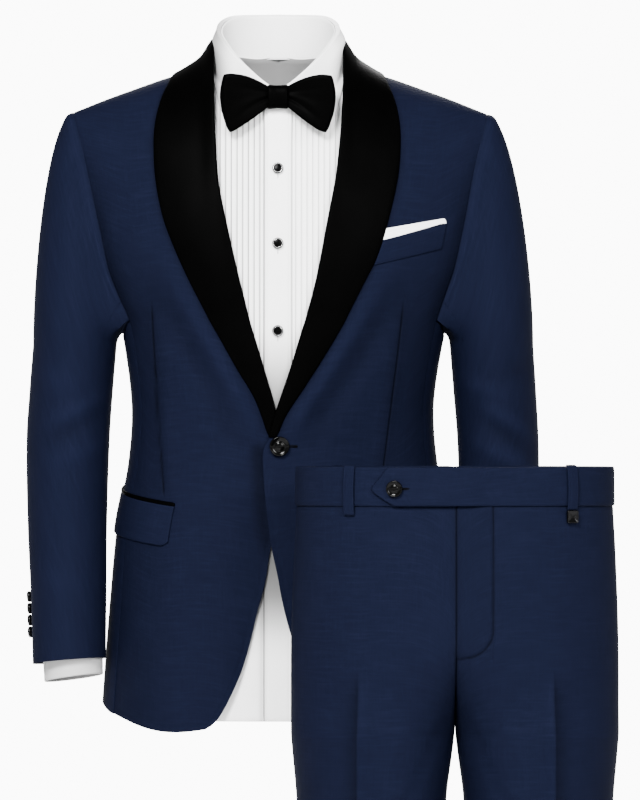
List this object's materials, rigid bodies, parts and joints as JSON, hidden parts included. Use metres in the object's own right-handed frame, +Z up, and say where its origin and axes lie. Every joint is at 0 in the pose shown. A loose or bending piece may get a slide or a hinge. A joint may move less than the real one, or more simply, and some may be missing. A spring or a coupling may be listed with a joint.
{
  "type": "tuxedo",
  "caption": "Evening suit filled out as worn: shawl-collared jacket over a pleated shirt with studs and a bow tie, with the matching trousers standing in front of its left side",
  "frame": {"origin": "midway between the two points where the jacket's shoulder seams meet the neck, where the wearer's shoulders hold the jacket up", "axes": "+Z up, -Y to the front of both garments, +X to the wearer's left, which is the viewer's right"},
  "size_m": [0.6479, 0.4629, 1.5481],
  "materials": {
    "navy_cloth": "matte wool weave",
    "black_satin": "satin",
    "white_cloth": "smooth cotton",
    "black_button": "glossy",
    "dark_metal": "polished dark metal"
  },
  "bodies": {
    "root": {"belt_loop_back_left": "navy_cloth", "belt_loop_back_right": "navy_cloth", "belt_loop_front_left": "navy_cloth", "belt_loop_front_right": "navy_cloth", "belt_loop_keeper": "dark_metal", "bow_tie_band": "black_satin", "bow_tie_knot": "black_satin", "bow_tie_wing_left": "black_satin", "bow_tie_wing_right": "black_satin", "breast_pocket_welt": "navy_cloth", "cuff_button_left_1": "black_button", "cuff_button_left_2": "black_button", "cuff_button_left_3": "black_button", "cuff_button_left_4": "black_button", "cuff_button_right_1": "black_button", "cuff_button_right_2": "black_button", "cuff_button_right_3": "black_button", "cuff_button_right_4": "black_button", "front_button": "black_button", "jacket_back_left": "navy_cloth", "jacket_back_right": "navy_cloth", "jacket_front_left": "navy_cloth", "jacket_front_right": "navy_cloth", "jacket_side_left": "navy_cloth", "jacket_side_right": "navy_cloth", "pocket_flap_left": "navy_cloth", "pocket_flap_right": "navy_cloth", "pocket_jetting_left": "black_satin", "pocket_jetting_right": "black_satin", "pocket_square": "white_cloth", "shawl_collar_left": "black_satin", "shawl_collar_right": "black_satin", "shirt_back": "white_cloth", "shirt_collar_leaf": "white_cloth", "shirt_collar_stand": "white_cloth", "shirt_cuff_left": "white_cloth", "shirt_cuff_right": "white_cloth", "shirt_front_left": "white_cloth", "shirt_front_right": "white_cloth", "shirt_placket": "white_cloth", "shirt_sleeve_left": "white_cloth", "shirt_sleeve_right": "white_cloth", "shirt_stud_1": "dark_metal", "shirt_stud_2": "dark_metal", "shirt_stud_3": "dark_metal", "sleeve_top_left": "navy_cloth", "sleeve_top_right": "navy_cloth", "sleeve_under_left": "navy_cloth", "sleeve_under_right": "navy_cloth", "trouser_back_left": "navy_cloth", "trouser_back_right": "navy_cloth", "trouser_button": "black_button", "trouser_front_left": "navy_cloth", "trouser_front_right": "navy_cloth", "waistband_left": "navy_cloth", "waistband_right": "navy_cloth"}
  },
  "joints": []
}
